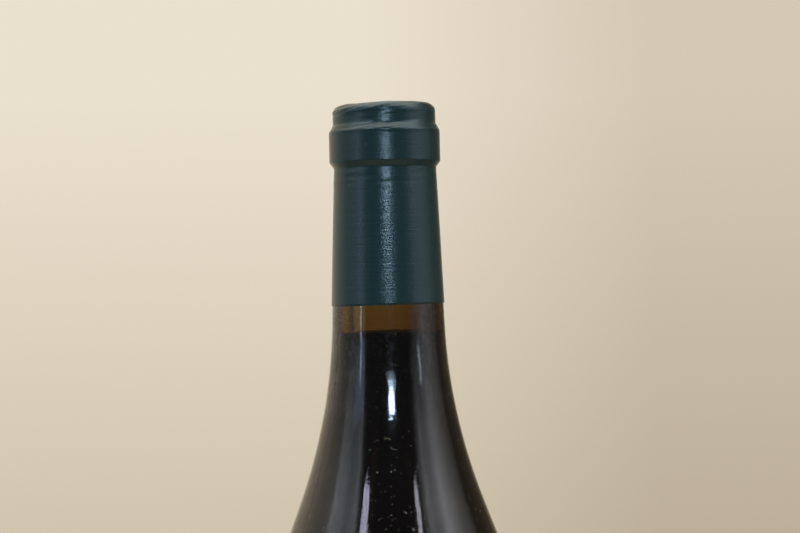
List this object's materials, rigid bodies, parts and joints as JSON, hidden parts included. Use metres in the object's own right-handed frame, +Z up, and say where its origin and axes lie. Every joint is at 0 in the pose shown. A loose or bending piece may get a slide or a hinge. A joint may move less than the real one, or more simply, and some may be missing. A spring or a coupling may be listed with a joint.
{
  "type": "wine bottle",
  "caption": "Full, sealed Burgundy-shaped glass bottle of red wine with sloping shoulders, a punted base and a spun metal capsule over its mouth and neck.",
  "frame": {"origin": "middle of the ring that the bottle stands on, level with its lowest face", "axes": "+Z up the bottle's axis to its mouth; the bottle is round, so +X and +Y are free"},
  "size_m": [0.082, 0.082, 0.2962],
  "materials": {
    "amber_glass": "clear brown bottle glass, smooth and glossy",
    "red_wine": "still liquid, nearly black in this depth",
    "capsule_metal": "dark blue-green satin lacquer on thin spun metal"
  },
  "bodies": {
    "root": {"bottle": "amber_glass", "wine": "red_wine", "capsule": "capsule_metal"}
  },
  "joints": []
}
